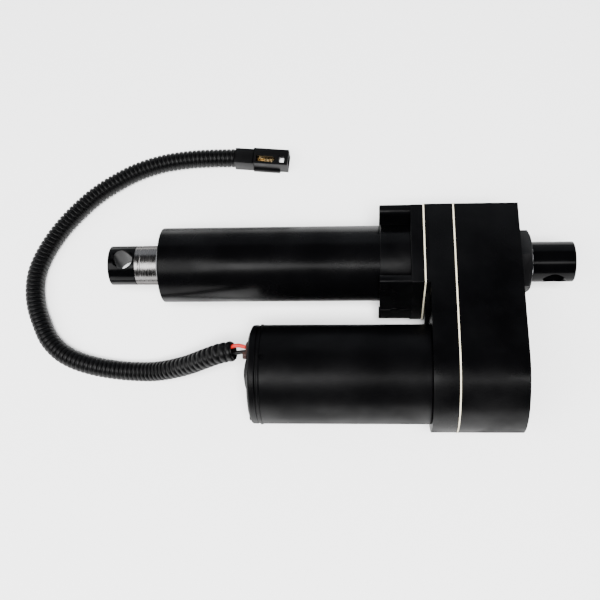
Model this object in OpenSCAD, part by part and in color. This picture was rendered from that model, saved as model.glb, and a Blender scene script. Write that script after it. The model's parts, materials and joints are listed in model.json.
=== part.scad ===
// Linear actuator: a screw jack in a round cover tube, driven through two pairs of
// spur gears by a DC motor that lies beside the tube.
// Frame: origin at the centre of the rear cross hole, on the screw axis. +X is the way
// the rod extends, +Y points from the screw axis to the motor axis, +Z is normal to both.

/* [Stroke and rod] */
// Travel of the rod from retracted to extended
stroke = 101.6; // [50.8:25.4:152.4]
// Advance of the nut for one turn of the screw
lead = 5.08; // [2.54:2.54:10.16]
// Diameter of the extension tube and of both mounting rods
rod_d = 25.4; // [24:0.1:26]
// Diameter of the cross holes at both ends
cross_hole_d = 12.8; // [8:0.1:13.4]
// Major diameter of the lead screw
screw_d = 15.8; // [15.4:0.1:16]

/* [Cover tube and flange] */
// Outside diameter of the cover tube
cover_d = 48.2; // [47.6:0.1:48.6]
// Wall of the cover tube
cover_wall = 2.6; // [2:0.1:3]
// Side of the square flange
flange_side = 54.7; // [54:0.1:56]
// Thickness of the top and bottom slabs of the flange socket
slab = 6.05; // [5.6:0.05:6.4]

/* [Gear housing] */
// Outside radius of the gear housing around the motor axis
pear_r = 35.5; // [35.2:0.1:36.5]
// Wall of the gear housing
case_wall = 3; // [2.5:0.1:3.1]

/* [Motor] */
// Outside diameter of the motor can
motor_d = 61.2; // [60:0.1:62]
// Wall of the motor can
can_wall = 2.4; // [2:0.1:2.8]

/* [Gears] */
// Gear module
gear_module = 1.25; // [1.2:0.01:1.25]
// Teeth of the motor pinion
motor_teeth = 12; // [12:1:12]
// Teeth of the idler wheel that the motor pinion drives
wheel_teeth = 42; // [42:1:42]
// Teeth of the idler pinion
idler_teeth = 27; // [27:1:27]
// Teeth of the gear on the screw
screw_teeth = 36; // [36:1:36]

/* [Wiring] */
// Outside diameter of the corrugated conduit
conduit_d = 12; // [11:0.5:12]
// Diameter of each motor lead
wire_d = 2.6; // [2:0.1:2.8]

/* [Hidden] */
$fn = 64;
running = 0.05;        // radial clearance of a running fit
pressure_angle = 25;
backlash = 0.3;

// distances between the gear axes, and the slope of the housing's flush side
idler_gap = gear_module * (motor_teeth + wheel_teeth) / 2;
screw_gap = gear_module * (idler_teeth + screw_teeth) / 2;
axis_gap = idler_gap + screw_gap;
tilt = asin((pear_r - flange_side / 2) / axis_gap);

rod_r = rod_d / 2;
hole_r = cross_hole_d / 2;
screw_r = screw_d / 2;
cover_r = cover_d / 2;
cover_in_r = cover_r - cover_wall;
can_r = motor_d / 2;
can_in_r = can_r - can_wall;

// stations along X, from the rear to the front
rear_tip = -12.8;
shank_start = 13.8;
nut_start = 14.8;
cover_rear = 23.1;
gasket_t = 0.8;
cover_front = 62.5;
case_rear = cover_front + gasket_t;
case_front = 78.3;
boss_front = 80.9;
flange_rear = boss_front + gasket_t;
plate_front = 89.6;
flange_front = 108.8;
tube_start = 92;
tube_end = 146.7 + stroke;
wiper_end = tube_end + 2.8;
rod_shoulder = tube_end + 17.3;
crimp_x = rod_shoulder - 3.2;
front_hole_x = rod_shoulder + 7.8;
front_tip = rod_shoulder + 17.4;
motor_seam = 183.1;
motor_end = 188.9;
motor_boss_end = 193;
floor_z = -pear_r;

// angle of one corner of the rear nut from the Y axis
nut_turn = 22.4;

// stations of the drive train
mount_shank_end = 30.5;
rear_bearing_x = 33;
rear_bearing_w = 10;
front_bearing_x = 70;
front_bearing_w = 10.6;
screw_gear_x = 47;
screw_gear_w = 11;
wheel_x = 60;
wheel_w = 8;
nut_x = 104;
nut_l = 24;
guide_l = 12;

// screws of the gear housing: distance from the two axes, and angles about the motor axis
case_screw_r = 2.5;
case_screw_end = 71;
corner_screw = 22.6;
round_screw = 30.6;
round_angles = [-62, 0, 62];
// screws of the flange, in the square's own directions
flange_screw_r = 2;
flange_screw_end = 72.8;
flange_screw_a = 24.3;
flange_screw_b = 21.5;

// leads and connector
grommet_y = 60;
grommet_z = 10;
connector_at = [209.5, -93.2, floor_z];
connector_turn = 174.7;
connector_l = 38;

// centreline of the conduit, from the motor's end cap round to the connector
conduit_route = [
    [199, 60.5, 8], [208, 61.5, 5.5], [218, 63, -0.5], [230, 64.5, -9.5],
    [243, 65, -18.5], [256, 65, -25], [270, 64, -28.5], [284, 62.5, -29.5],
    [298, 60, -29.5], [311, 56, -29.5], [322, 50, -29.5], [331, 41, -29.5],
    [337, 30, -29.5], [342, 18, -29.5], [344.5, 5, -29.5], [344, -8, -29.5],
    [339.5, -22, -29.5], [331.5, -37, -29.5], [321, -51, -29.5], [308.5, -64, -29.5],
    [295, -74, -29.5], [280, -82.5, -29.5], [263, -88.5, -29.5], [245.5, -91.5, -29.5],
    [228, -92.5, -29.5], [209.5, -92.5, -29.5]
];

// ---------------------------------------------------------------- helpers

// A solid whose section is drawn in Y and Z, from x0 to x1.
module along_x(x0, x1) {
    translate([x0, 0, 0]) rotate([90, 0, 90]) linear_extrude(x1 - x0) children();
}

// A round bar along X about the point y, z.
module bar(x0, x1, r, y = 0, z = 0) {
    translate([x0, y, z]) rotate([0, 90, 0]) cylinder(h = x1 - x0, r = r);
}

// A ring along X about the point y, z.
module ring(x0, x1, r_out, r_in, y = 0, z = 0) {
    difference() {
        bar(x0, x1, r_out, y, z);
        bar(x0 - 1, x1 + 1, r_in, y, z);
    }
}

// A point of the tilted square's own directions, given in Y and Z.
function turned(p) = [p[0] * cos(tilt) - p[1] * sin(tilt), p[0] * sin(tilt) + p[1] * cos(tilt)];

// The angle on a circle of radius r about c where a line from p touches its far side.
function touch_angle(p, c, r) = let (d = c - p) atan2(d[1], d[0]) - asin(r / norm(d)) - 90;

// The gear housing's outline: two corners of the square about the screw axis, and an arc
// about the motor axis that one side flush with the square and one other side run into.
arc_steps = 48;
module pear(inset = 0) {
    h = flange_side / 2 - inset;
    r = pear_r - inset;
    centre = [axis_gap, 0];
    near_corner = turned([-h, h]);
    far_corner = turned([-h, -h]);
    first = 90 + tilt;
    last = touch_angle(far_corner, centre, r);
    arc = [for (k = [0:arc_steps])
        let (a = first + (last - first) * k / arc_steps) centre + r * [cos(a), sin(a)]];
    polygon(concat([near_corner], arc, [far_corner]));
}

function corner_points(a, b) = [for (i = [-1, 1], j = [-1, 1]) turned([i * a, j * b])];
function case_points() = concat(
    [for (j = [-1, 1]) turned([-corner_screw, j * corner_screw])],
    [for (a = round_angles) [axis_gap + round_screw * cos(a), round_screw * sin(a)]]
);

// Involute gears, by the flank's half angle at a radius.
function involute(a) = tan(a) * 180 / PI - a;
function half_angle(r, teeth) =
    let (pitch = gear_module * teeth / 2, base = pitch * cos(pressure_angle))
    90 / teeth - backlash / 4 / pitch * 180 / PI
        + involute(pressure_angle) - involute(acos(min(1, base / r)));
function gear_outline(teeth, steps = 4) =
    let (
        pitch = gear_module * teeth / 2,
        base = pitch * cos(pressure_angle),
        tip = pitch + 0.8 * gear_module,
        root = pitch - 1.05 * gear_module,
        low = max(base, root + 0.05),
        radii = [for (k = [0:steps]) low + (tip - low) * k / steps]
    )
    [for (i = [0:teeth - 1])
        let (mid = i * 360 / teeth)
        each concat(
            [root * [cos(mid - half_angle(low, teeth)), sin(mid - half_angle(low, teeth))]],
            [for (r = radii) r * [cos(mid - half_angle(r, teeth)), sin(mid - half_angle(r, teeth))]],
            [for (k = [steps:-1:0])
                radii[k] * [cos(mid + half_angle(radii[k], teeth)),
                            sin(mid + half_angle(radii[k], teeth))]],
            [root * [cos(mid + half_angle(low, teeth)), sin(mid + half_angle(low, teeth))]]
        )];

// A gear along X, with tooth 0 turned to the angle start.
module gear(x0, width, teeth, start, y) {
    translate([0, y, 0]) along_x(x0, x0 + width) rotate(start) polygon(gear_outline(teeth));
}

// A tube swept along a list of points, with one ring of corners at each.
function along(points, i) =
    let (a = points[max(i - 1, 0)], b = points[min(i + 1, len(points) - 1)]) (b - a) / norm(b - a);
function ring_at(points, i, r, sides) =
    let (
        t = along(points, i),
        side = cross(t, [0, 0, 1]) / norm(cross(t, [0, 0, 1])),
        up = cross(side, t)
    )
    [for (k = [0:sides - 1]) points[i] + r * (cos(k * 360 / sides) * side + sin(k * 360 / sides) * up)];
module swept_tube(points, r, sides = 8) {
    n = len(points);
    polyhedron(
        points = [for (i = [0:n - 1]) each ring_at(points, i, r, sides)],
        faces = concat(
            [[for (k = [0:sides - 1]) k]],
            [for (i = [0:n - 2], k = [0:sides - 1])
                [i * sides + k, (i + 1) * sides + k,
                 (i + 1) * sides + (k + 1) % sides, i * sides + (k + 1) % sides]],
            [[for (k = [sides - 1:-1:0]) (n - 1) * sides + k]]
        )
    );
}

// ---------------------------------------------------------------- rear mount

module rear_mount() {
    color("#17181a")
    difference() {
        union() {
            bar(rear_tip, shank_start, rod_r);
            bar(shank_start, mount_shank_end, 9.5);
        }
        rotate([90, 0, 0]) cylinder(h = rod_d + 2, r = hole_r, center = true);
    }
}

module rear_washer() {
    color("#b9bcc0") ring(shank_start, nut_start, 13.4, 9.55);
}

module rear_lock_nut() {
    color("#2b2c2f")
    difference() {
        intersection() {
            along_x(nut_start, cover_rear) rotate(nut_turn) circle(r = 20.8, $fn = 6);
            translate([nut_start, 0, 0]) rotate([0, 90, 0]) cylinder(h = 9, r1 = 17.8, r2 = 33.4);
        }
        bar(0, 40, 9.55);
    }
}

// ---------------------------------------------------------------- gear housing

module rear_cover() {
    color("#141416")
    difference() {
        union() {
            difference() {
                along_x(cover_rear, cover_front) pear();
                along_x(cover_rear + case_wall + 0.5, cover_front + 1) pear(case_wall);
            }
            bar(cover_rear + 1, rear_bearing_x + rear_bearing_w, 19.5);
            bar(cover_rear + 1, screw_gear_x - 2, 7.5, screw_gap);
            intersection() {
                along_x(cover_rear + 1, cover_front) pear(1);
                for (p = case_points()) bar(cover_rear + 1, cover_front, 5, p[0], p[1]);
            }
        }
        bar(cover_rear - 1, mount_shank_end + 0.5, 9.55);
        bar(rear_bearing_x, 60, 16);
        bar(30, 60, 4, screw_gap);
        for (p = case_points()) {
            bar(cover_rear - 1, cover_front + 1, case_screw_r + 0.1, p[0], p[1]);
            bar(cover_rear - 1, cover_rear + 5.5, 4.5, p[0], p[1]);
        }
    }
}

module cover_gasket() {
    color("#d9cfae")
    difference() {
        along_x(cover_front, case_rear) pear(-0.15);
        along_x(cover_front - 1, case_rear + 1) pear(case_wall);
        for (p = case_points())
            bar(cover_front - 1, case_rear + 1, case_screw_r + 0.1, p[0], p[1]);
    }
}

module cover_screws() {
    color("#55575b")
    for (p = case_points()) {
        difference() {
            bar(cover_rear + 0.6, cover_rear + 5.5, 4.3, p[0], p[1]);
            along_x(cover_rear, cover_rear + 3) translate(p) circle(r = 2.3, $fn = 6);
        }
        bar(cover_rear + 5.5, case_screw_end, case_screw_r, p[0], p[1]);
    }
}

module gear_case() {
    color("#141416")
    difference() {
        union() {
            difference() {
                along_x(case_rear, case_front) pear();
                along_x(case_rear - 1, case_front - case_wall) pear(case_wall);
            }
            along_x(case_front - 1, boss_front) rotate(tilt) union() {
                square(flange_side - 0.1, center = true);
                translate([flange_side / 2 - 1, -12]) square([12, 24]);
            }
            bar(front_bearing_x, case_front, 21);
            bar(70.5, case_front - 1, 7.5, screw_gap);
            for (p = case_points()) bar(case_rear, case_front - 1, 4, p[0], p[1]);
            for (p = corner_points(flange_screw_a - 1.5, flange_screw_b))
                along_x(71, case_front - 1) translate(p) rotate(tilt)
                    square([8, 8.4], center = true);
        }
        bar(front_bearing_x, boss_front + 1, 17.53);
        bar(60, 75, 4, screw_gap);
        bar(case_front - 6, boss_front + 6, 12, axis_gap);
        bar(case_front, boss_front + 6, can_r + 0.4, axis_gap);
        for (p = case_points())
            bar(case_rear - 1, case_screw_end + 0.3, case_screw_r + 0.1, p[0], p[1]);
        for (p = corner_points(flange_screw_a, flange_screw_b))
            bar(flange_screw_end - 0.3, boss_front + 1, flange_screw_r + 0.1, p[0], p[1]);
        for (j = [-1, 1]) bar(60, case_front + 1, 2.1, axis_gap, j * 19);
    }
}

module flange_gasket() {
    color("#d9cfae")
    difference() {
        along_x(boss_front, flange_rear) rotate(tilt) square(flange_side + 0.3, center = true);
        bar(boss_front - 1, flange_rear + 1, 19);
        for (p = corner_points(flange_screw_a, flange_screw_b))
            bar(boss_front - 1, flange_rear + 1, flange_screw_r + 0.1, p[0], p[1]);
    }
}

// ---------------------------------------------------------------- flange and cover tube

// One slab of the flange socket, with its outer corners cut off.
module slab_outline() {
    outer = flange_side / 2 - 0.1;
    cut = 1;
    inner = flange_side / 2 - slab;
    polygon([
        [inner, -outer], [outer - cut, -outer], [outer, cut - outer],
        [outer, outer - cut], [outer - cut, outer], [inner, outer]
    ]);
}

module front_flange() {
    color("#141416")
    difference() {
        union() {
            along_x(flange_rear, plate_front) rotate(tilt) square(flange_side, center = true);
            for (a = [0, 180])
                along_x(plate_front - 1, flange_front) rotate(tilt + a) slab_outline();
            bar(plate_front - 1, flange_front - 0.5, cover_r + 0.5);
        }
        bar(flange_rear - 1, tube_start + 1, 19);
        bar(tube_start, flange_front + 1, cover_r);
        for (p = corner_points(flange_screw_a, flange_screw_b)) {
            bar(flange_rear - 1, flange_front + 1, flange_screw_r + 0.1, p[0], p[1]);
            bar(flange_front - 3.6, flange_front + 1, 2.7, p[0], p[1]);
        }
    }
}

module flange_screws() {
    color("#55575b")
    for (p = corner_points(flange_screw_a, flange_screw_b)) {
        difference() {
            bar(flange_front - 3.6, flange_front - 0.4, 2.6, p[0], p[1]);
            along_x(flange_front - 2.2, flange_front) translate(p) circle(r = 1.5, $fn = 6);
        }
        bar(flange_screw_end, flange_front - 3.6, flange_screw_r, p[0], p[1]);
    }
}

module cover_tube() {
    color("#1b1c1e") ring(tube_start, tube_end, cover_r, cover_in_r);
}

module front_bushing() {
    color("#c8a04a")
    ring(tube_end - 16.3, tube_end - 1.3, cover_in_r, rod_r + running);
}

module rod_wiper() {
    color("#8a8c8e")
    difference() {
        union() {
            bar(tube_end - 1.3, tube_end, cover_in_r);
            bar(tube_end, wiper_end, 14.4);
        }
        bar(tube_end - 3, wiper_end + 1, rod_r + running);
    }
}

// ---------------------------------------------------------------- bearings

// A deep-groove bearing's sizes: start, width, bore, ball circle, ball and outside radius.
bearings = [
    [rear_bearing_x, rear_bearing_w, 6, 11, 2.7, 16],
    [front_bearing_x, front_bearing_w, 7.5, 12.5, 2.9, 17.5]
];
ball_count = 9;

module ball_groove(b) {
    translate([b[0] + b[1] / 2, 0, 0]) rotate([0, 90, 0])
        rotate_extrude() translate([b[3], 0]) circle(r = b[4] + 0.25, $fn = 32);
}

module bearing_outer_rings() {
    color("#9da1a6")
    for (b = bearings) difference() {
        ring(b[0], b[0] + b[1], b[5], b[3] + b[4] * 0.62);
        ball_groove(b);
    }
}

module bearing_inner_rings() {
    color("#9da1a6")
    for (b = bearings) difference() {
        ring(b[0], b[0] + b[1], b[3] - b[4] * 0.62, b[2]);
        ball_groove(b);
    }
}

module ball_set(b, r) {
    for (k = [0:ball_count - 1]) rotate([k * 360 / ball_count, 0, 0])
        translate([b[0] + b[1] / 2, b[3], 0]) sphere(r = r, $fn = 32);
}

module bearing_balls() {
    color("#c9ccd0") for (b = bearings) ball_set(b, b[4]);
}

module bearing_cages() {
    color("#b08d57")
    for (b = bearings) difference() {
        ring(b[0] + b[1] / 2 - 2.2, b[0] + b[1] / 2 + 2.2, b[3] + 0.6, b[3] - 0.6);
        ball_set(b, b[4] + 0.1);
    }
}

// ---------------------------------------------------------------- screw and nut

module lead_screw() {
    color("#8f9296")
    difference() {
        union() {
            bar(rear_bearing_x + 0.7, rear_bearing_x + rear_bearing_w, 6);
            bar(rear_bearing_x + rear_bearing_w, front_bearing_x + front_bearing_w, 7.5);
            bar(front_bearing_x + front_bearing_w, tube_end - 12.3, screw_r);
        }
        translate([screw_gear_x, -2.5, 5]) cube([screw_gear_w, 5, 5]);
    }
}

module screw_gear() {
    color("#7c7f83")
    difference() {
        gear(screw_gear_x, screw_gear_w, screw_teeth, 180 / screw_teeth, 0);
        bar(screw_gear_x - 1, screw_gear_x + screw_gear_w + 1, 7.5);
        translate([screw_gear_x - 1, -2.5, 0]) cube([screw_gear_w + 2, 5, 10]);
        for (k = [0:5]) rotate([k * 60 + 30, 0, 0])
            bar(screw_gear_x - 1, screw_gear_x + screw_gear_w + 1, 2.6, 15.2);
    }
}

module gear_key() {
    color("#a5a8ac") translate([screw_gear_x + 0.2, -2.5, 5])
        cube([screw_gear_w - 0.4, 5, 4.9]);
}

module screw_spacers() {
    color("#a5a8ac") {
        ring(rear_bearing_x + rear_bearing_w, screw_gear_x, 9.5, 7.5);
        ring(screw_gear_x + screw_gear_w, front_bearing_x, 9.5, 7.5);
    }
}

module drive_nut() {
    color("#b88a3c")
    difference() {
        union() {
            bar(nut_x, nut_x + nut_l, 17);
            bar(nut_x, nut_x + 4, cover_in_r - 1);
        }
        bar(nut_x - 1, nut_x + nut_l, screw_r + running);
        bar(nut_x + 10, nut_x + nut_l + 1, rod_r + running);
    }
}

module nut_guide_ring() {
    color("#e8e6dc")
    ring(nut_x + 4, nut_x + 4 + guide_l, cover_in_r - running, 17);
}

module extension_tube() {
    color("#b7babd")
    difference() {
        bar(nut_x + 10.2, rod_shoulder, rod_r);
        bar(nut_x, rod_shoulder + 1, 8.8);
        translate([crimp_x, 0, 0]) rotate([0, 90, 0])
            rotate_extrude() translate([rod_r + 0.35, 0]) circle(r = 0.6, $fn = 16);
    }
}

module rod_end() {
    color("#17181a")
    difference() {
        union() {
            bar(rod_shoulder - 17, rod_shoulder, 8.75);
            bar(rod_shoulder, front_tip - 0.8, rod_r);
            translate([front_tip - 0.8, 0, 0]) rotate([0, 90, 0])
                cylinder(h = 0.8, r1 = rod_r, r2 = rod_r - 0.8);
        }
        translate([front_hole_x, 0, 0]) cylinder(h = rod_d + 2, r = hole_r, center = true);
    }
}

// ---------------------------------------------------------------- idler

module idler_pin() {
    color("#a5a8ac") bar(30.5, 74.5, 3.95, screw_gap);
}

module idler_bush() {
    color("#c8a04a") ring(screw_gear_x - 1.2, wheel_x + wheel_w + 1.2, 5.4, 3.95 + running, screw_gap);
}

module idler_pinion() {
    color("#8b8e92")
    difference() {
        union() {
            gear(screw_gear_x, screw_gear_w, idler_teeth, 180, screw_gap);
            bar(screw_gear_x, wheel_x, 9, screw_gap);
        }
        bar(screw_gear_x - 1, wheel_x + 1, 5.4, screw_gap);
    }
}

module idler_wheel() {
    color("#7c7f83")
    difference() {
        gear(wheel_x, wheel_w, wheel_teeth, 180 / wheel_teeth, screw_gap);
        bar(wheel_x - 1, wheel_x + wheel_w + 1, 5.4, screw_gap);
        for (k = [0:5]) translate([0, screw_gap, 0]) rotate([k * 60, 0, 0])
            bar(wheel_x - 1, wheel_x + wheel_w + 1, 4.6, 16);
    }
}

// ---------------------------------------------------------------- motor

magnet_x = [98, 158];
core_x = [102, 154];
commutator_x = [163, 177];
brush_x = [165.5, 174.5];
bolt_r = 2;
bolt_circle = 25.4;

module about_motor() { translate([0, axis_gap, 0]) children(); }

module motor_can() {
    color("#1d1e21") ring(case_front, motor_seam, can_r, can_in_r, axis_gap);
}

module motor_front_plate() {
    color("#3a3c40")
    difference() {
        union() {
            bar(case_front, case_front + 6, can_in_r - 0.05, axis_gap);
            bar(case_front - 2.7, case_front, 11.9, axis_gap);
        }
        bar(case_front - 4, case_front + 8, 7, axis_gap);
        for (j = [-1, 1]) {
            bar(case_front - 1, case_front + 7, 2.1, axis_gap, j * 19);
            bar(case_front - 1, case_front + 7, bolt_r + 0.1, axis_gap + j * bolt_circle, 0);
        }
    }
}

module motor_end_cap() {
    color("#1d1e21")
    difference() {
        union() {
            bar(motor_seam - 5, motor_seam, can_in_r - 0.05, axis_gap);
            bar(motor_seam, motor_end - 1, can_r, axis_gap);
            translate([motor_end - 1, axis_gap, 0]) rotate([0, 90, 0])
                cylinder(h = 1, r1 = can_r, r2 = can_r - 1.6);
            bar(motor_end - 1, motor_boss_end, 9.5, axis_gap);
        }
        bar(motor_seam - 6, motor_end, 6.5, axis_gap);
        bar(motor_seam - 6, motor_boss_end + 1, 3.4, grommet_y, grommet_z);
        for (j = [-1, 1]) {
            bar(motor_seam - 6, motor_end + 1, bolt_r + 0.1, axis_gap + j * bolt_circle, 0);
            bar(motor_end - 3.2, motor_end + 1, 3.9, axis_gap + j * bolt_circle, 0);
        }
    }
}

module motor_mount_screws() {
    color("#55575b")
    for (j = [-1, 1]) {
        bar(71.3, case_front - case_wall, 3.8, axis_gap, j * 19);
        bar(case_front - case_wall, case_front + 5, 2, axis_gap, j * 19);
    }
}

module motor_through_bolts() {
    color("#55575b")
    for (j = [-1, 1]) {
        bar(case_front + 0.3, motor_end - 3.2, bolt_r, axis_gap + j * bolt_circle, 0);
        bar(motor_end - 3.2, motor_end - 0.4, 3.7, axis_gap + j * bolt_circle, 0);
    }
}

module motor_bushings() {
    color("#c8a04a") {
        ring(case_front - 2.7, case_front + 6, 7, 4 + running, axis_gap);
        ring(motor_seam - 5, motor_end - 0.5, 6.5, 4 + running, axis_gap);
    }
}

module motor_magnets() {
    color("#3b3a3d")
    about_motor()
    for (a = [90, 270]) rotate([a, 0, 0])
        intersection() {
            ring(magnet_x[0], magnet_x[1], can_in_r - 0.05, 22.4);
            along_x(magnet_x[0], magnet_x[1])
                polygon([[0, 0], 40 * [cos(62), -sin(62)], [60, 0], 40 * [cos(62), sin(62)]]);
        }
}

module motor_shaft() {
    color("#a5a8ac") bar(wheel_x - 1.5, motor_end - 1, 4, axis_gap);
}

module motor_pinion() {
    color("#8b8e92")
    difference() {
        gear(wheel_x - 0.5, wheel_w + 1.5, motor_teeth, 180, axis_gap);
        bar(50, 80, 4, axis_gap);
    }
}

slots = 12;

module armature_core() {
    color("#6d6f73")
    about_motor()
    difference() {
        bar(core_x[0], core_x[1], 21.6);
        bar(core_x[0] - 1, core_x[1] + 1, 4);
        for (k = [0:slots - 1]) rotate([k * 360 / slots, 0, 0])
            translate([core_x[0] - 1, 11, -1.6]) cube([core_x[1] - core_x[0] + 2, 12, 3.2]);
    }
}

module armature_windings() {
    color("#b5652b")
    about_motor() {
        ring(core_x[0] - 6, core_x[0], 19.5, 6);
        ring(core_x[1], core_x[1] + 6, 19.5, 6);
        for (k = [0:slots - 1]) rotate([k * 360 / slots, 0, 0])
            translate([core_x[0], 11.1, -1.5]) cube([core_x[1] - core_x[0], 9, 3]);
    }
}

module commutator() {
    color("#c07a45")
    about_motor()
    difference() {
        ring(commutator_x[0], commutator_x[1], 11, 4);
        for (k = [0:slots - 1]) rotate([k * 360 / slots, 0, 0])
            translate([commutator_x[0] - 1, 10, -0.3]) cube([20, 2, 0.6]);
    }
}

module brush_holder() {
    color("#5a3d2b")
    about_motor()
    difference() {
        union() {
            ring(175.5, 178, 27.5, 12.5);
            for (a = [0, 180]) rotate([a, 0, 0])
                translate([brush_x[0] - 1.2, 12.6, -5]) cube([11.4, 9.4, 10]);
        }
        for (a = [0, 180]) rotate([a, 0, 0])
            translate([brush_x[0] - 0.1, 12, -3.6]) cube([9.2, 20, 7.2]);
        for (j = [-1, 1]) bar(170, 180, 3, j * bolt_circle, 0);
    }
}

module motor_brushes() {
    color("#2d2d2f")
    about_motor()
    for (a = [0, 180]) rotate([a, 0, 0])
        translate([brush_x[0], 11.15, -3.5]) cube([9, 7.5, 7]);
}

module brush_springs() {
    color("#b9bcc0")
    about_motor()
    for (a = [0, 180], k = [0:3]) rotate([a, 0, 0])
        translate([brush_x[0] + 4.5, 19.02 + k * 0.86, 0]) rotate([90, 0, 0])
            rotate_extrude() translate([2.2, 0]) circle(r = 0.35, $fn = 16);
}

// ---------------------------------------------------------------- leads and connector

red_y = 57.8;
black_y = 61.4;
lead_z = 9.4;

module wire_grommet() {
    color("#6b3a24")
    difference() {
        union() {
            bar(motor_seam, motor_end, 3.35, grommet_y, grommet_z);
            bar(motor_end, motor_end + 2.2, 4.8, grommet_y, grommet_z);
        }
        for (y = [red_y + 0.7, black_y - 0.1]) bar(motor_seam - 1, motor_end + 3, wire_d / 2, y, lead_z);
    }
}

module lead(y) {
    bar(motor_seam - 3, conduit_route[0][0] + 0.2, wire_d / 2, y, lead_z);
}

module red_lead() {
    color("#b3201c") lead(red_y + 0.7);
}

module black_lead() {
    color("#151517") lead(black_y - 0.1);
}

module wire_conduit() {
    color("#1a1a1c") swept_tube(conduit_route, conduit_d / 2, 8);
}

// The connector's own directions: x towards its mating end, z up from the surface it lies on.
module at_connector() {
    translate(connector_at) rotate([0, 0, connector_turn]) children();
}

module connector_housing() {
    color("#1c1c1e")
    at_connector()
    difference() {
        union() {
            translate([0, -6.6, 0]) cube([14, 13.2, 12.4]);
            translate([13, -6, 0]) cube([connector_l - 13, 12, 11.4]);
            translate([13, -7.4, 0]) cube([20, 14.8, 3]);
        }
        translate([-1, -4.2, 2.4]) cube([30, 8.4, 7]);
        translate([28, -4.4, 2]) cube([connector_l - 27, 8.8, 7.4]);
        translate([15, -3, 8]) cube([13, 6, 5]);
        translate([32, -1.8, -1]) cube([3.6, 3.6, 15]);
    }
}

module connector_seal() {
    color("#3d3e42")
    at_connector() translate([0.4, -4.1, 2.5]) cube([8, 8.2, 6.8]);
}

module connector_terminals() {
    color("#b98a45")
    at_connector()
    for (j = [-1, 1]) {
        translate([8.6, j * 2.1 - 1.4, 3.4]) cube([18, 2.8, 4.2]);
        translate([26.6, j * 2.1 - 1.1, 5]) cube([3.4, 2.2, 0.8]);
    }
}

rear_mount();
rear_washer();
rear_lock_nut();
rear_cover();
cover_gasket();
cover_screws();
gear_case();
flange_gasket();
front_flange();
flange_screws();
cover_tube();
front_bushing();
rod_wiper();
bearing_outer_rings();
bearing_inner_rings();
bearing_balls();
bearing_cages();
lead_screw();
screw_gear();
gear_key();
screw_spacers();
idler_pin();
idler_bush();
idler_wheel();
idler_pinion();
drive_nut();
nut_guide_ring();
extension_tube();
rod_end();
motor_can();
motor_end_cap();
motor_front_plate();
motor_mount_screws();
motor_through_bolts();
motor_bushings();
motor_magnets();
motor_shaft();
motor_pinion();
armature_core();
armature_windings();
commutator();
brush_holder();
motor_brushes();
brush_springs();
wire_grommet();
red_lead();
black_lead();
wire_conduit();
connector_housing();
connector_terminals();
connector_seal();
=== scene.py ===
"""The looks of a linear actuator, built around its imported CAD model.

Sizes are in millimetres in the row frame until a mesh is made, in metres, by MM.
"""
import json
from math import acos, asin, cos, pi, radians, sin, tan

import bmesh
import bpy
from mathutils import Matrix, Vector, noise


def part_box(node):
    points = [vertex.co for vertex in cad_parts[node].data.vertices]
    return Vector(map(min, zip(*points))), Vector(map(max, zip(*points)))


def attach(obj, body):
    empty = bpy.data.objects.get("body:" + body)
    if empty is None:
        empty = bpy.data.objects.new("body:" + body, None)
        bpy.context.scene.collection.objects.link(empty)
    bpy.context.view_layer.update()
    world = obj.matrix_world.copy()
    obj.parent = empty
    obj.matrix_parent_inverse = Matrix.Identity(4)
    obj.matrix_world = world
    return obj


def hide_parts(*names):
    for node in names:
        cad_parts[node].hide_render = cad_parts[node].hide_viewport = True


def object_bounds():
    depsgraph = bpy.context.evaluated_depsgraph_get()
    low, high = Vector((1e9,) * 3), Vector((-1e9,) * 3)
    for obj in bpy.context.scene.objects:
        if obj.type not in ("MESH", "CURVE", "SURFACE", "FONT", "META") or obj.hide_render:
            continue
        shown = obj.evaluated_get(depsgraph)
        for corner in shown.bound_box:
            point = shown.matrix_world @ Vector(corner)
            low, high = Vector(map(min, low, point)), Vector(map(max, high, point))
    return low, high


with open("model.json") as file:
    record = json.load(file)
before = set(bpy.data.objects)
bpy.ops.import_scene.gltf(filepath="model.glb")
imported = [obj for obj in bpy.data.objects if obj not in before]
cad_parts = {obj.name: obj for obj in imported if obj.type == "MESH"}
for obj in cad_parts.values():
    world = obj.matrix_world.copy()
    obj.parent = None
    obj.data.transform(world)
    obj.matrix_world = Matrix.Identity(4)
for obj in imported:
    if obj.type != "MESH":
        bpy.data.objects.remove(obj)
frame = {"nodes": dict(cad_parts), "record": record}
cad_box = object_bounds()

MM = 0.001
X_AXIS = Vector((1, 0, 0))
ROUND = 128  # sides of a turned piece

# ------------------------------------------------------------------ sizes from the frame


def low(node, axis):
    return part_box(node)[0][axis] / MM


def high(node, axis):
    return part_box(node)[1][axis] / MM


def middle(node, axis):
    return (low(node, axis) + high(node, axis)) / 2


MOTOR_Y = middle("motor_can", 1)
ROD_R = (high("rod_end", 1) - low("rod_end", 1)) / 2
COVER_R = (high("cover_tube", 1) - low("cover_tube", 1)) / 2
CAN_R = (high("motor_can", 1) - low("motor_can", 1)) / 2
HOLE_R = 6.4  # both cross holes
FLOOR_Z = cad_box[0][2]
FLANGE_SIDE = 54.7  # the square front of the gear case and the flange on it
CASE_END_R = 35.5  # the round end of the gear housing, about the motor's axis
TUBE_WALL = 2.6
DIMPLE_TURN = 4.5  # where the dimple in the motor's shell is, from straight up
TILT = asin((CASE_END_R - FLANGE_SIDE / 2) / MOTOR_Y)  # the square section is turned by this about X

# ------------------------------------------------------------------ camera

CAMERA_AT = Vector((113.4, 219.1, 561.6)) * MM
CAMERA_FORWARD = Vector((0.0769, -0.3263, -0.9421))
CAMERA_RIGHT = Vector((-0.9971, -0.0190, -0.0740))
LENS = 56.22
SENSOR = 36


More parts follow.
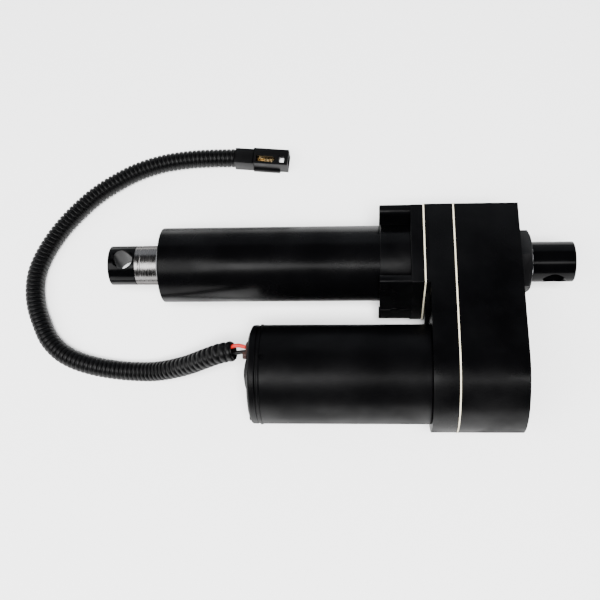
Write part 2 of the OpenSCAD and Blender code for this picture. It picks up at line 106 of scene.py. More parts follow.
def make_camera():
    data = bpy.data.cameras.new("camera")
    data.lens = LENS
    data.sensor_width = SENSOR
    data.clip_start = 0.01
    camera = bpy.data.objects.new("camera", data)
    bpy.context.scene.collection.objects.link(camera)
    back = -CAMERA_FORWARD.normalized()
    right = (CAMERA_RIGHT - back * CAMERA_RIGHT.dot(back)).normalized()
    up = back.cross(right)
    turn = Matrix((right, up, back)).transposed()
    camera.matrix_world = Matrix.Translation(CAMERA_AT) @ turn.to_4x4()
    bpy.context.scene.camera = camera


make_camera()

# ------------------------------------------------------------------ materials


class Nodes:
    """A material's node tree, with short calls for the nodes that the materials use."""

    def __init__(self, name):
        self.material = bpy.data.materials.new(name)
        self.material.use_nodes = True
        self.tree = self.material.node_tree
        self.shader = self.tree.nodes["Principled BSDF"]
        self.place = self.add("ShaderNodeTexCoord").outputs["Object"]

    def add(self, kind, **inputs):
        node = self.tree.nodes.new(kind)
        for name, value in inputs.items():
            socket = node.inputs[name]
            if hasattr(value, "is_linked"):
                self.tree.links.new(value, socket)
            else:
                socket.default_value = value
        return node

    def join(self, source, target):
        self.tree.links.new(source, target)

    def set(self, **values):
        for name, value in values.items():
            self.shader.inputs[name.replace("_", " ")].default_value = value

    def scaled(self, scale):
        """The object's own coordinates, stretched by a factor for each axis."""
        node = self.add("ShaderNodeMapping", Vector=self.place)
        node.inputs["Scale"].default_value = scale
        return node.outputs["Vector"]

    def noise(self, scale, detail=4.0, roughness=0.55, at=None):
        node = self.add("ShaderNodeTexNoise", Vector=at or self.place)
        node.inputs["Scale"].default_value = scale
        node.inputs["Detail"].default_value = detail
        node.inputs["Roughness"].default_value = roughness
        return node.outputs["Fac"]

    def ranged(self, value, low_in, high_in, low_out, high_out):
        node = self.add("ShaderNodeMapRange", Value=value)
        for name, number in (("From Min", low_in), ("From Max", high_in),
                             ("To Min", low_out), ("To Max", high_out)):
            node.inputs[name].default_value = number
        return node.outputs["Result"]

    def blend(self, factor, a, b):
        node = self.tree.nodes.new("ShaderNodeMix")
        node.data_type = "RGBA"
        self.join(factor, node.inputs["Factor"])
        for socket, value in ((node.inputs[6], a), (node.inputs[7], b)):
            if hasattr(value, "is_linked"):
                self.join(value, socket)
            else:
                socket.default_value = (*value, 1)
        return node.outputs[2]

    def gloss(self, level, patches=None):
        """Specular level, falling off towards the edge, as on a thin coat over a matt base.

        Where patches are given, the level goes up and down with them.
        """
        facing = self.add("ShaderNodeLayerWeight", Blend=0.5).outputs["Facing"]
        falling = self.ranged(facing, 0.35, 0.8, 1, 0.06)
        node = self.tree.nodes.new("ShaderNodeMath")
        node.operation = "MULTIPLY"
        node.inputs[1].default_value = level
        self.join(falling, node.inputs[0])
        if patches is not None:
            self.join(self.ranged(patches, 0.35, 0.68, level * 0.55, level * 1.35), node.inputs[1])
        self.join(node.outputs[0], self.shader.inputs["Specular IOR Level"])

    def bump(self, *layers):
        """Bumps laid over each other: each layer is (height, depth in metres, strength)."""
        normal = None
        for height, depth, strength in layers:
            node = self.add("ShaderNodeBump", Height=height)
            node.inputs["Distance"].default_value = depth
            node.inputs["Strength"].default_value = strength
            if normal is not None:
                self.join(normal, node.inputs["Normal"])
            normal = node.outputs["Normal"]
        self.join(normal, self.shader.inputs["Normal"])


def coated(name, color, rough, fine, wave, blotch=0.35, gloss=0.1):
    """Black coating: soft blotches in gloss, fine grain, and long waves in the surface."""
    m = Nodes(name)
    patches = m.noise(38, 3, 0.5)
    grain = m.noise(2600, 2, 0.5)
    tone = m.ranged(patches, 0.3, 0.7, 0, 1)
    lighter = [c * 1.5 for c in color]
    m.join(m.blend(tone, color, lighter), m.shader.inputs["Base Color"])
    spread = rough * blotch
    m.join(m.ranged(patches, 0.3, 0.7, rough - spread, rough + spread), m.shader.inputs["Roughness"])
    m.gloss(gloss, m.noise(26, 3, 0.5))
    m.bump((m.noise(70, 2, 0.4), wave, 0.6), (grain, fine, 0.5))
    return m.material


def steel(name, color, rough, stretch=(1, 1, 1), depth=0.00001, edge=0.8):
    """Bare metal with fine tool marks, stretched along the way the tool ran."""
    m = Nodes(name)
    marks = m.noise(900, 3, 0.6, m.scaled(stretch))
    stain = m.noise(60, 3, 0.5)
    m.join(m.blend(m.ranged(stain, 0.35, 0.7, 0, 1), color, [c * 0.8 for c in color]),
           m.shader.inputs["Base Color"])
    m.join(m.ranged(marks, 0.3, 0.7, rough * 0.7, rough * 1.4), m.shader.inputs["Roughness"])
    m.set(Metallic=1.0, Specular_Tint=(edge, edge, edge, 1))
    m.bump((marks, depth, 0.6))
    return m.material


def plastic(name, color, rough, grain=1500, depth=0.00002, vary=0.25, gloss=0.5):
    """Moulded or extruded plastic and rubber, with a fine texture and uneven gloss."""
    m = Nodes(name)
    patches = m.noise(150, 3, 0.6)
    m.join(m.blend(m.ranged(patches, 0.3, 0.7, 0, 1), color, [c * (1 - vary) for c in color]),
           m.shader.inputs["Base Color"])
    m.join(m.ranged(patches, 0.3, 0.7, rough * 0.8, min(1, rough * 1.2)), m.shader.inputs["Roughness"])
    m.gloss(gloss)
    m.bump((m.noise(grain, 2, 0.5), depth, 0.5))
    return m.material


MATERIALS = {
    "black_cast": coated("black_cast", (0.0006, 0.0006, 0.0007), 0.34, 0.00002, 0.00008, 0.45),
    "black_tube": coated("black_tube", (0.0006, 0.0006, 0.0007), 0.26, 0.000004, 0.00001, 0.2),
    "black_motor": coated("black_motor", (0.0006, 0.0006, 0.0007), 0.36, 0.000005, 0.00001, 0.15),
    "black_rod": coated("black_rod", (0.0005, 0.0005, 0.0006), 0.17, 0.000002, 0.000005, 0.2),
    "nut_black": coated("nut_black", (0.0018, 0.0018, 0.002), 0.4, 0.00003, 0.00003, 0.3, 0.16),
    "steel": steel("steel", (0.2, 0.193, 0.19), 0.25, (4, 0.15, 0.15), 0.0000004, 0.2),
    "bright_steel": steel("bright_steel", (0.75, 0.76, 0.78), 0.15),
    "gear_steel": steel("gear_steel", (0.42, 0.43, 0.45), 0.35, (1, 1, 1), 0.00003),
    "bronze": steel("bronze", (0.62, 0.42, 0.18), 0.32),
    "brass": steel("brass", (0.78, 0.56, 0.27), 0.28),
    "copper": steel("copper", (0.72, 0.34, 0.16), 0.3, (0.05, 4, 4), 0.00008),
    "magnet": plastic("magnet", (0.05, 0.05, 0.053), 0.6),
    "carbon": plastic("carbon", (0.025, 0.025, 0.027), 0.5),
    "phenolic": plastic("phenolic", (0.16, 0.08, 0.04), 0.45),
    "acetal": plastic("acetal", (0.75, 0.74, 0.7), 0.35),
    "gasket": plastic("gasket", (0.72, 0.66, 0.5), 0.8, 900, 0.0001, 0.3),
    "seal": plastic("seal", (0.16, 0.16, 0.165), 0.5),
    "grommet": plastic("grommet", (0.022, 0.01, 0.008), 0.4, gloss=0.3),
    "red_wire": plastic("red_wire", (0.4, 0.012, 0.01), 0.3),
    "black_wire": plastic("black_wire", (0.0015, 0.0015, 0.0016), 0.35, gloss=0.2),
    "conduit": plastic("conduit", (0.001, 0.001, 0.0011), 0.34, 1500, 0.00001, gloss=0.16),
    "connector": plastic("connector", (0.0018, 0.0018, 0.0019), 0.36, gloss=0.16),
}

# ------------------------------------------------------------------ mesh tools


def piece(name, mesh, slot, node_list, body="housing", sharp=32):
    """A finished piece: its material, its slot, the nodes it stands for and its body."""
    obj = bpy.data.objects.new(name, mesh)
    bpy.context.scene.collection.objects.link(obj)
    mesh.materials.clear()
    mesh.materials.append(MATERIALS[slot])
    mesh.shade_smooth()
    mesh.set_sharp_from_angle(angle=radians(sharp))
    if node_list:
        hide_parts(*node_list)
    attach(obj, body)
    return obj


def mesh_of(name, points, faces):
    mesh = bpy.data.meshes.new(name)
    mesh.from_pydata([Vector(p) * MM for p in points], [], faces)
    return tidy(mesh)


def tidy(mesh, merge=0.0):
    """Makes every face look outwards, and joins points that lie together."""
    bm = bmesh.new()
    bm.from_mesh(mesh)
    if merge:
        bmesh.ops.remove_doubles(bm, verts=bm.verts, dist=merge)
    bmesh.ops.recalc_face_normals(bm, faces=bm.faces)
    bm.to_mesh(mesh)
    bm.free()
    return mesh


def rounded(corners, steps=5):
    """A closed outline from corners (x, r, fillet), with each fillet as an arc."""
    out = []
    count = len(corners)
    for i, (x, r, fillet) in enumerate(corners):
        here = Vector((x, r))
        if not fillet:
            out.append(here)
            continue
        before = (Vector(corners[i - 1][:2]) - here).normalized()
        after = (Vector(corners[(i + 1) % count][:2]) - here).normalized()
        half = acos(max(-1, min(1, before.dot(after)))) / 2
        start = here + before * (fillet / tan(half))
        end = here + after * (fillet / tan(half))
        centre = here + (before + after).normalized() * (fillet / sin(half))
        for k in range(steps + 1):
            flat = start.lerp(end, k / steps) - centre
            out.append(centre + flat.normalized() * fillet)
    return out


def lathe(name, corners, y=0.0, z=0.0, sides=ROUND):
    """A solid turned about an axis along X through y, z, from corners (x, r, fillet).

    A corner with r of 0 lies on the axis.
    """
    outline = rounded(corners)
    points, faces, rows = [], [], []
    for x, r in outline:
        if r < 1e-6:
            rows.append([len(points)] * sides)
            points.append((x, y, z))
            continue
        rows.append(list(range(len(points), len(points) + sides)))
        points += [(x, y + r * cos(2 * pi * k / sides), z + r * sin(2 * pi * k / sides))
                   for k in range(sides)]
    for i, row in enumerate(rows):
        after = rows[(i + 1) % len(rows)]
        if row[0] == row[1] and after[0] == after[1]:
            continue
        for k in range(sides):
            j = (k + 1) % sides
            face = list(dict.fromkeys([row[k], row[j], after[j], after[k]]))
            if len(face) > 2:
                faces.append(face)
    return mesh_of(name, points, faces)


def prism(name, outline, x0, x1):
    """A solid with the outline [(y, z), ...], which is convex or nearly so, from x0 to x1."""
    count = len(outline)
    points = [(x, y, z) for x in (x0, x1) for y, z in outline]
    faces = [[k, (k + 1) % count, count + (k + 1) % count, count + k] for k in range(count)]
    return mesh_of(name, points, faces + [list(range(count))[::-1], list(range(count, 2 * count))])


def joined(*meshes):
    """One mesh from several, which may run into each other."""
    bm = bmesh.new()
    for mesh in meshes:
        bm.from_mesh(mesh)
    result = bpy.data.meshes.new(meshes[0].name)
    bm.to_mesh(result)
    bm.free()
    for mesh in meshes:
        bpy.data.meshes.remove(mesh)
    return result


def shaft(x0, x1, r, fillet=0.5):
    """The corners of a plain round bar."""
    return [(x0, 0, 0), (x0, r, fillet), (x1, r, fillet), (x1, 0, 0)]


def tube(x0, x1, r_out, r_in, fillet=0.4):
    """The corners of a plain ring."""
    return [(x0, r_in, fillet), (x0, r_out, fillet), (x1, r_out, fillet), (x1, r_in, fillet)]


def evaluated(obj):
    """The mesh of obj with its modifiers applied; obj itself is removed."""
    graph = bpy.context.evaluated_depsgraph_get()
    mesh = bpy.data.meshes.new_from_object(obj.evaluated_get(graph), depsgraph=graph)
    old = obj.data
    bpy.data.objects.remove(obj)
    bpy.data.meshes.remove(old)
    return mesh


def as_object(mesh):
    obj = bpy.data.objects.new(mesh.name, mesh)
    bpy.context.scene.collection.objects.link(obj)
    return obj


def combined(mesh, *others):
    """mesh with each of the others cut from it."""
    obj = as_object(mesh)
    tools = [as_object(other) for other in others]
    for tool in tools:
        modifier = obj.modifiers.new("cut", "BOOLEAN")
        modifier.operation = "DIFFERENCE"
        modifier.solver = "EXACT"
        modifier.object = tool
    result = evaluated(obj)
    for tool in tools:
        data = tool.data
        bpy.data.objects.remove(tool)
        bpy.data.meshes.remove(data)
    return result


def bevelled(mesh, width, segments=3, angle=28):
    """mesh with every edge sharper than angle rounded to width, in mm."""
    obj = as_object(mesh)
    modifier = obj.modifiers.new("round", "BEVEL")
    modifier.width = width * MM
    modifier.segments = segments
    modifier.limit_method = "ANGLE"
    modifier.angle_limit = radians(angle)
    modifier.use_clamp_overlap = True
    modifier.harden_normals = False
    return evaluated(obj)


def cad_mesh(node, flat=0.5):
    """A copy of a CAD node's mesh, with its points joined and its flat faces whole."""
    source = frame["nodes"][node]
    mesh = source.data.copy()
    bm = bmesh.new()
    bm.from_mesh(mesh)
    bmesh.ops.remove_doubles(bm, verts=bm.verts, dist=1e-6)
    bmesh.ops.dissolve_limit(bm, angle_limit=radians(flat), verts=bm.verts, edges=bm.edges)
    bmesh.ops.recalc_face_normals(bm, faces=bm.faces)
    bm.to_mesh(mesh)
    bm.free()
    return mesh


def turned_to(mesh, matrix):
    mesh.transform(matrix)
    return mesh


# ------------------------------------------------------------------ conduit and leads

# The route of the conduit: the same points as in the CAD model.
ROUTE = [
    (199, 60.5, 8), (208, 61.5, 5.5), (218, 63, -0.5), (230, 64.5, -9.5),
    (243, 65, -18.5), (256, 65, -25), (270, 64, -28.5), (284, 62.5, -29.5),
    (298, 60, -29.5), (311, 56, -29.5), (322, 50, -29.5), (331, 41, -29.5),
    (337, 30, -29.5), (342, 18, -29.5), (344.5, 5, -29.5), (344, -8, -29.5),
    (339.5, -22, -29.5), (331.5, -37, -29.5), (321, -51, -29.5), (308.5, -64, -29.5),
    (295, -74, -29.5), (280, -82.5, -29.5), (263, -88.5, -29.5), (245.5, -91.5, -29.5),
    (228, -92.5, -29.5), (209.5, -92.5, -29.5),
]
CONDUIT_R = 6.4
VALLEY_R = 5.5
BORE_R = 4.6
RIDGE_LIFT = Vector((0, 0, 0.4))  # the ridges stand on the floor, the CAD tube on its skin
PITCH = 3.05  # one corrugation
LOOSE_PITCH = 4.0  # one corrugation where the conduit is pulled out, up to the length LOOSE
LOOSE = 56
# one corrugation as shares of the pitch, with the radius there
CORRUGATION = [(0.0, VALLEY_R), (0.14, VALLEY_R), (0.24, CONDUIT_R - 0.22), (0.36, CONDUIT_R - 0.03),
               (0.57, CONDUIT_R), (0.78, CONDUIT_R - 0.03), (0.9, CONDUIT_R - 0.22)]


def smooth_line(points, steps=24):
    """A Catmull-Rom curve through points, in mm."""
    p = [Vector(q) for q in points]
    p = [2 * p[0] - p[1]] + p + [2 * p[-1] - p[-2]]
    line = []
    for a, b, c, d in zip(p, p[1:], p[2:], p[3:]):
        for k in range(steps):
            t = k / steps
            line.append(0.5 * (2 * b + (c - a) * t + (2 * a - 5 * b + 4 * c - d) * t ** 2
                               + (3 * b - a - 3 * c + d) * t ** 3))
    return line + [p[-2]]


class Path:
    """A line that gives the place and a steady pair of side directions at any length."""

    def __init__(self, line):
        self.line = line
        self.at = [0.0]
        for a, b in zip(line, line[1:]):
            self.at.append(self.at[-1] + (b - a).length)
        self.length = self.at[-1]
        self.sides = []
        side = Vector((0, 0, 1))
        for i in range(len(line)):
            along = (line[min(i + 1, len(line) - 1)] - line[max(i - 1, 0)]).normalized()
            side = (side - along * side.dot(along)).normalized()
            self.sides.append((along, side))

    def frame(self, s):
        s = max(0.0, min(self.length, s))
        i = min(max(0, sum(1 for a in self.at if a <= s) - 1), len(self.line) - 2)
        share = (s - self.at[i]) / (self.at[i + 1] - self.at[i])
        place = self.line[i].lerp(self.line[i + 1], share)
        along = self.sides[i][0].lerp(self.sides[i + 1][0], share).normalized()
        side = self.sides[i][1].lerp(self.sides[i + 1][1], share)
        side = (side - along * side.dot(along)).normalized()
        return place, side, along.cross(side)


def swept(path, rings, sides=24):
    """A closed solid swept along path: rings are (length, radius) from one end to the other,
    and a ring may step back, as where a tube turns into its own bore."""
    points, faces = [], []
    for s, r in rings:
        place, side, other = path.frame(s)
        points += [place + r * (cos(2 * pi * k / sides) * side + sin(2 * pi * k / sides) * other)
                   for k in range(sides)]
    count = len(rings)
    for i in range(count):
        j = (i + 1) % count
        for k in range(sides):
            n = (k + 1) % sides
            faces.append([i * sides + k, i * sides + n, j * sides + n, j * sides + k])
    return points, faces


def make_conduit():
    path = Path(smooth_line(ROUTE))
    outside = []
    start = 0.0
    while start + PITCH < path.length:
        pitch = LOOSE_PITCH if start < LOOSE else PITCH
        outside += [(start + share * pitch, r) for share, r in CORRUGATION]
        start += pitch
    outside.append((path.length, VALLEY_R))
    inside = [(s, BORE_R) for s, _ in outside[::-len(CORRUGATION)]]
    inside.append((0.0, BORE_R))
    points, faces = swept(path, outside + inside)
    points = [p + RIDGE_LIFT for p in points]
    conduit = piece("conduit", mesh_of("conduit", points, faces), "conduit", ["wire_conduit"], sharp=60)
    return conduit, path


CONDUIT, CONDUIT_PATH = make_conduit()
LEAD_R = 1.25
LEAD_Z = middle("red_lead", 2)
CAP_FACE = high("motor_end_cap", 0) - 4.1


def round_bar(path, r, sides=20):
    """A bar of radius r swept along path, closed and rounded at both ends."""
    steps = max(8, int(path.length / 1.2))
    rings = [(path.length * i / steps, r) for i in range(steps + 1)]
    points, faces = swept(path, rings, sides)
    faces = faces[:-sides]
    faces.append(list(range(sides)))
    faces.append([(len(rings) - 1) * sides + k for k in range(sides)])
    return points, faces


def make_lead(name, y, slot, node, route):
    start = [(low(node, 0), y, LEAD_Z), (CAP_FACE - 3, y, LEAD_Z), (CAP_FACE + 2, y, LEAD_Z)]
    points, faces = round_bar(Path(smooth_line(start + route, 8)), LEAD_R)
    return piece(name, mesh_of(name, points, faces), slot, [node])


RED_LEAD = make_lead("red_motor_lead", middle("red_lead", 1), "red_wire", "red_lead",
                     [(196, 57.6, 10.2), (201, 58.2, 9.3), (207, 59.6, 6.6), (213, 60.6, 3.6)])
BLACK_LEAD = make_lead("black_motor_lead", middle("black_lead", 1), "black_wire", "black_lead",
                       [(196, 61.6, 8.4), (201, 62.2, 7.4), (207, 63.2, 5.0), (213, 63.8, 2.0)])

# ------------------------------------------------------------------ connector

CONNECTOR_TURN = radians(174.7)
CONNECTOR_AT = Vector((209.5, -93.2, FLOOR_Z / MM))
AT_CONNECTOR = Matrix.Translation(CONNECTOR_AT * MM) @ Matrix.Rotation(CONNECTOR_TURN, 4, "Z")


def box_mesh(name, corner, size):
    """A box from its lowest corner and its size, in mm."""
    x, y, z = corner
    a, b, c = size
    points = [(x + a * i, y + b * j, z + c * k) for i in (0, 1) for j in (0, 1) for k in (0, 1)]
    faces = [(0, 1, 3, 2), (4, 6, 7, 5), (0, 4, 5, 1), (2, 3, 7, 6), (0, 2, 6, 4), (1, 5, 7, 3)]
    return mesh_of(name, points, faces)


def cut_boxes(mesh, *boxes):
    """mesh with boxes, each a corner and a size in mm, cut from it."""
    return combined(mesh, *[box_mesh("cut", corner, size) for corner, size in boxes])


def make_connector():
    rear = cut_boxes(box_mesh("connector_shell", (0, -6.5, 0), (14, 11.6, 11.4)),
                     ((-1, -4.6, 2.2), (20, 8.4, 7.4)))
    front = cut_boxes(
        box_mesh("front", (13, -6, 0), (25, 12, 11.4)), ((10, -4.4, 2), (29, 8.8, 7.4)),
        ((15.4, -4.4, 8), (11.4, 4.9, 5)), ((26.4, -3.2, 8), (2.4, 2.6, 5)),
        ((31.6, -4.2, 8), (3.7, 5.2, 5)),
        ((30.6, -1.4, -1), (6, 6.5, 4)))
    side = box_mesh("side", (13.4, -7.4, 0.4), (18.8, 3, 2.6))
    latch = box_mesh("latch", (28.6, 5.6, 3), (6, 0.9, 5))
    edges = ((rear, 0.4), (front, 0.35), (side, 0.3), (latch, 0.3))
    shell = joined(*[bevelled(mesh, width, 2) for mesh, width in edges])
    shell = turned_to(shell, AT_CONNECTOR)
    housing = piece("connector_shell", shell, "connector", ["connector_housing"])
    parts = []
    for y in (-2.1, 2.1):
        parts += [box_mesh("contact_pair", (8.6, y - 1.4, 3.4), (18, 2.8, 3.3)),
                  box_mesh("spring", (26.4, y - 1.1, 5), (3.6, 2.2, 0.6))]
    parts += [cut_boxes(box_mesh("crimp", (15.6, -0.4, 6.4), (5.6, 2.6, 1.2)),
                        ((17, -1, 7.3), (1.2, 2, 1))),
              cut_boxes(box_mesh("cage", (21, -2.2, 6.4), (6.2, 4.4, 1)), ((22.2, -3, 6.9), (1.4, 2, 1)),
                        ((24.6, -3, 6.9), (1.2, 2.6, 1)))]
    metal = joined(*[bevelled(mesh, 0.22, 2) for mesh in parts])
    contacts = piece("contact_pair", turned_to(metal, AT_CONNECTOR), "brass", ["connector_terminals"])
    return [housing, contacts, frame["nodes"]["connector_seal"]]


CONNECTOR = make_connector()

[tuple(CONDUIT_PATH.frame(CONDUIT_PATH.length * i / 400)[0] * MM) for i in range(401)]

# ------------------------------------------------------------------ mounting rods


def cross_hole(name, x, along):
    """A cutter for a cross hole with a countersink at each end; along is "Y" or "Z"."""
    sink_r, sink_depth = HOLE_R + 1.3, 1.3
    reach = 20
    surface = ROD_R + 0.05
    corners = [
        (-reach, 0, 0), (-reach, sink_r + reach - surface, 0), (sink_depth - surface, HOLE_R, 0),
        (surface - sink_depth, HOLE_R, 0), (reach, sink_r + reach - surface, 0), (reach, 0, 0),
    ]
    mesh = lathe(name, corners, sides=96)
    turn = Matrix.Rotation(radians(90), 4, "Z" if along == "Y" else "Y")
    return turned_to(mesh, Matrix.Translation((x * MM, 0, 0)) @ turn)


def make_rear_rod():
    tip = low("rear_mount", 0)
    shoulder = low("rear_washer", 0)
    end = high("rear_mount", 0)
    corners = [(tip, 0, 0), (tip, ROD_R, 0.9), (shoulder, ROD_R, 0.4), (shoulder, 9.5, 0), (end, 9.5, 0.5),
               (end, 0, 0)]
    mesh = combined(lathe("rear_rod", corners), cross_hole("hole", 0, "Y"))
    piece("rear_rod", mesh, "black_rod", ["rear_mount"])
    washer = lathe("rear_rod_washer", tube(shoulder, shoulder + 1, 13.35, 9.55, 0.3))
    piece("rear_rod_washer", washer, "bright_steel", ["rear_washer"])


def make_rod_end():
    back = low("rod_end", 0)
    shoulder = high("extension_tube", 0)
    tip = high("rod_end", 0)
    hole_x = shoulder + 7.8
    corners = [(back, 0, 0), (back, 8.75, 0.6), (shoulder, 8.75, 0), (shoulder, ROD_R, 0.35),
               (tip, ROD_R, 0.9), (tip, 0, 0)]
    mesh = combined(lathe("front_rod_end", corners), cross_hole("hole", hole_x, "Z"))
    piece("front_rod_end", mesh, "black_rod", ["rod_end"], "rod")


def make_extension_tube():
    back = low("extension_tube", 0)
    end = high("extension_tube", 0)
    groove = end - 3.2
    corners = [
        (back, 8.8, 0.3), (back, ROD_R, 0.5), (groove - 0.8, ROD_R, 0.1),
        (groove - 0.3, ROD_R - 0.14, 0.1),
        (groove + 0.3, ROD_R - 0.14, 0.1), (groove + 0.8, ROD_R - 0.05, 0.1), (end, ROD_R - 0.05, 0.3),
        (end, 8.8, 0.2),
    ]
    piece("rod_tube", lathe("rod_tube", corners), "steel", ["extension_tube"], "rod")


# ------------------------------------------------------------------ cover tube, nut and seal


def make_cover_tube():
    start, end = low("cover_tube", 0), high("cover_tube", 0)
    mesh = lathe("outer_tube", tube(start, end, COVER_R, COVER_R - TUBE_WALL, 0.9))
    piece("outer_tube", mesh, "black_tube", ["cover_tube"])
    back, lip = low("rod_wiper", 0), high("rod_wiper", 0)
    corners = [(back, ROD_R + 0.05, 0), (back, COVER_R - TUBE_WALL, 0), (end, COVER_R - TUBE_WALL, 0),
               (end, 14.4, 0), (lip - 0.6, 14.2, 0.5), (lip, ROD_R + 0.6, 0.2), (lip, ROD_R + 0.05, 0)]
    piece("wiper_ring", lathe("wiper_ring", corners), "seal", ["rod_wiper"])


def make_lock_nut():
    piece("lock_nut", bevelled(cad_mesh("rear_lock_nut"), 0.35, 2), "nut_black", ["rear_lock_nut"])


# ------------------------------------------------------------------ gear housing and flange


def make_housing():
    piece("gear_cover", bevelled(cad_mesh("rear_cover"), 1.6, 4), "black_cast", ["rear_cover"], sharp=40)
    piece("gear_housing", bevelled(cad_mesh("gear_case"), 0.5, 3), "black_cast", ["gear_case"], sharp=40)


def make_flange():
    """The cast flange: a square plate, a socket for the tube, and a slab on each side of it."""
    back, end = low("front_flange", 0), high("front_flange", 0)
    plate = back + 7.9
    half = FLANGE_SIDE / 2
    square = [(-half, -half, 0.9), (half, -half, 0.9), (half, half, 0.9), (-half, half, 0.9)]
    parts = [bevelled(prism("tube_flange", rounded(square), back, plate), 0.8, 3)]
    outer, inner = half - 0.1, half - 6.1
    for turn, corner in ((0, 4.0), (180, 1.0)):
        slab = [(inner, -outer, 2.9), (outer, -outer, corner), (outer, outer, 1.6), (inner, outer, 2.9)]
        mesh = bevelled(prism("slab", rounded(slab, 8), plate - 2, end), 0.8, 3)
        parts.append(turned_to(mesh, Matrix.Rotation(radians(turn), 4, "X")))
    ledge = [(outer - 2, 3.4 - outer, 0), (outer + 0.8, 3.4 - outer, 0.3), (outer + 0.8, -11.2, 0.7),
             (outer - 2, -11.2, 0)]
    parts.append(bevelled(prism("ledge", rounded(ledge), plate - 1, end + 0.7), 0.3, 2))
    corners = [(outer - 2, 0, 0), (outer - 2, 3.2, 0), (outer + 1, 3.2, 0.8), (outer + 1, 0, 0)]
    pad = lathe("pad", corners, sides=48)
    parts.append(turned_to(pad, Matrix.Translation(((plate + 9.4) * MM, 0, -12.2 * MM))
                           @ Matrix.Rotation(radians(90), 4, "Z")))
    for side in (-1, 1):
        bar = shaft(plate - 1, end - 0.6, 0.7, 0.3)
        fillet = lathe("fillet", bar, side * (inner - 0.35), side * 12.6, 24)
        parts.append(turned_to(fillet, Matrix.Scale(side, 4, (0, 0, 1))) if side < 0 else fillet)
    for mesh in parts:
        turned_to(mesh, Matrix.Rotation(TILT, 4, "X"))
    socket = [(plate - 2, COVER_R, 0), (plate - 2, COVER_R + 0.5, 0), (end - 0.4, COVER_R + 0.5, 0.45),
              (end - 0.4, COVER_R, 0)]
    parts.append(lathe("socket", socket))
    piece("tube_flange", joined(*parts), "black_cast", ["front_flange"], sharp=40)


def make_gaskets():
    """Thin fibre gaskets whose edges stand a little unevenly out of the joint."""
    for name, node in (("housing_gasket", "cover_gasket"), ("tube_flange_gasket", "flange_gasket")):
        mesh = cad_mesh(node)
        for v in mesh.vertices:
            v.co += Vector((0, 1, 1)) * (0.06 * MM * noise.noise(v.co * 90))
        piece(name, mesh, "gasket", [node])


# ------------------------------------------------------------------ motor


def make_motor():
    front, seam = low("motor_can", 0), high("motor_can", 0)
    can_in = CAN_R - 2.4
    corners = [
        (front, can_in, 0), (front, CAN_R, 0.6), (seam - 2.7, CAN_R, 0.1), (seam - 2.4, CAN_R - 0.2, 0.1),
        (seam - 2.2, CAN_R + 0.4, 0.4), (seam - 1.0, CAN_R + 0.4, 0.5), (seam - 0.8, CAN_R - 0.3, 0.1),
        (seam - 0.1, CAN_R - 0.3, 0.1), (seam - 0.1, can_in, 0),
    ]
    can = lathe("motor_shell", corners, MOTOR_Y)
    turn = radians(DIMPLE_TURN)
    dimple = lathe("dimple", shaft(-1.6, 3, 1.7, 0), sides=32)
    dimple = turned_to(dimple, Matrix.Rotation(radians(-90), 4, "Y"))
    dimple = turned_to(dimple, Matrix.Rotation(turn, 4, "X"))
    at = Vector((seam - 3.9, MOTOR_Y + CAN_R * sin(-turn), CAN_R * cos(turn)))
    can = combined(can, turned_to(dimple, Matrix.Translation(at * MM)))
    piece("motor_shell", can, "black_motor", ["motor_can"])
    face = CAP_FACE
    boss = high("motor_end_cap", 0)
    corners = [
        (seam - 5, 6.5, 0), (seam - 5, can_in - 0.05, 0.3), (seam + 0.05, can_in - 0.05, 0),
        (seam + 0.05, CAN_R - 0.5, 0.2), (seam + 0.7, CAN_R, 0.3), (face - 1.8, CAN_R - 0.1, 1.4),
        (face - 0.4, CAN_R - 3.4, 1.5), (face + 0.6, 12.5, 2), (boss - 1, 8.6, 3), (boss, 4, 2),
        (boss, 0, 0),
        (face - 1, 0, 0), (face - 1, 6.5, 0),
    ]
    cap = lathe("motor_rear_cap", corners, MOTOR_Y)
    cap = combined(cap, lathe("lead_hole", shaft(150, 230, 3.4), 60, 10))
    piece("motor_rear_cap", cap, "black_motor", ["motor_end_cap"])
    lip = [(seam, 3.35, 0), (face, 3.35, 0), (face, 4.9, 0.3), (face + 1.6, 4.7, 0.5),
           (face + 2.2, 3.7, 0.3), (face + 2.2, 0, 0), (seam, 0, 0)]
    collar = lathe("lead_grommet", lip, 60, 10)
    sleeve = lathe("sleeve", tube(face, face + 4.4, 2.7, 1.4, 0.35), 63, 8)
    piece("lead_grommet", joined(collar, sleeve), "grommet", ["wire_grommet"])


# ------------------------------------------------------------------ hidden parts keep their CAD shapes


def dress_cad_nodes():
    """Gives each CAD node that is still shown the finish of its slot."""
    for part in frame["record"]["subparts"]:
        node = frame["nodes"][part["node"]]
        if not node.data.materials or node.data.materials[0] != MATERIALS[part["material_slot"]]:
            node.data.materials.clear()
            node.data.materials.append(MATERIALS[part["material_slot"]])


# ------------------------------------------------------------------ stage


def area_light(name, at, towards, size, radiance, color=(1, 1, 1)):
    data = bpy.data.lights.new(name, "AREA")
    data.shape = "RECTANGLE"
    data.size, data.size_y = size
    data.energy = pi * size[0] * size[1] * radiance
    data.color = color
    obj = bpy.data.objects.new(name, data)
    bpy.context.scene.collection.objects.link(obj)
    place = Vector(at)
    away = (place - Vector(towards)).normalized()
    side = X_AXIS - away * X_AXIS.dot(away)
    side.normalize()
    up = away.cross(side)
    turn = Matrix((side, up, away)).transposed()
    obj.matrix_world = Matrix.Translation(place) @ turn.to_4x4()
    return obj


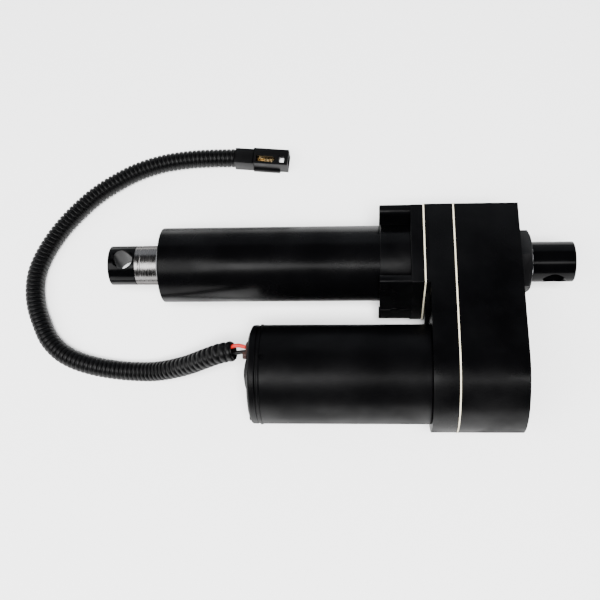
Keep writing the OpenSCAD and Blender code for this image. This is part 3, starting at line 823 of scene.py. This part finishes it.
def make_stage():
    size = 1.4
    mesh = bpy.data.meshes.new("floor")
    z = FLOOR_Z - 0.0002
    mesh.from_pydata([(-size, -size, z), (size, -size, z), (size, size, z), (-size, size, z)],
                     [], [(0, 1, 2, 3)])
    floor = bpy.data.objects.new("floor", mesh)
    bpy.context.scene.collection.objects.link(floor)
    m = Nodes("floor")
    m.join(m.blend(m.noise(3, 2), (0.86, 0.86, 0.86), (0.9, 0.9, 0.9)), m.shader.inputs["Base Color"])
    m.set(Roughness=0.7, Specular_IOR_Level=0.1)
    mesh.materials.append(m.material)
    world = bpy.data.worlds.new("world")
    world.use_nodes = True
    tree = world.node_tree
    dim = tree.nodes["Background"]
    dim.inputs["Color"].default_value = (0.9, 0.92, 1.0, 1)
    dim.inputs["Strength"].default_value = 0.03
    pale = tree.nodes.new("ShaderNodeBackground")
    pale.inputs["Strength"].default_value = 2.4
    pale.inputs["Color"].default_value = (1, 1, 1, 1)
    either = tree.nodes.new("ShaderNodeMixShader")
    ray = tree.nodes.new("ShaderNodeLightPath")
    tree.links.new(ray.outputs["Is Camera Ray"], either.inputs["Fac"])
    tree.links.new(dim.outputs["Background"], either.inputs[1])
    tree.links.new(pale.outputs["Background"], either.inputs[2])
    tree.links.new(either.outputs["Shader"], tree.nodes["World Output"].inputs["Surface"])
    bpy.context.scene.world = world
    target = (0.16, 0.03, 0)
    area_light("wall", (0.16, -1.3, 0.6), target, (3.2, 1.2), 0.85, (0.88, 0.93, 1.0))
    area_light("strip", (-0.25, 0.86, 1.69), (-0.25, 0, 0), (1.3, 0.34), 9)
    area_light("strip_left", (0.525, 0.86, 1.69), (0.3, 0, 0), (0.25, 0.6), 17)
    area_light("side", (1.1, 0.75, 1.6), target, (0.9, 1.2), 10)
    area_light("left_end", (1.4, -0.2, 0.8), target, (0.8, 0.8), 4)
    area_light("right_end", (-1.2, -0.2, 0.8), target, (0.8, 0.8), 2)
    key = area_light("key", Vector(target) - CAMERA_FORWARD * 2.2, target, (0.7, 0.7), 118)
    key.visible_glossy = False


make_rear_rod()
make_rod_end()
make_extension_tube()
make_cover_tube()
make_lock_nut()
make_housing()
make_flange()
make_gaskets()
make_motor()
dress_cad_nodes()
make_stage()
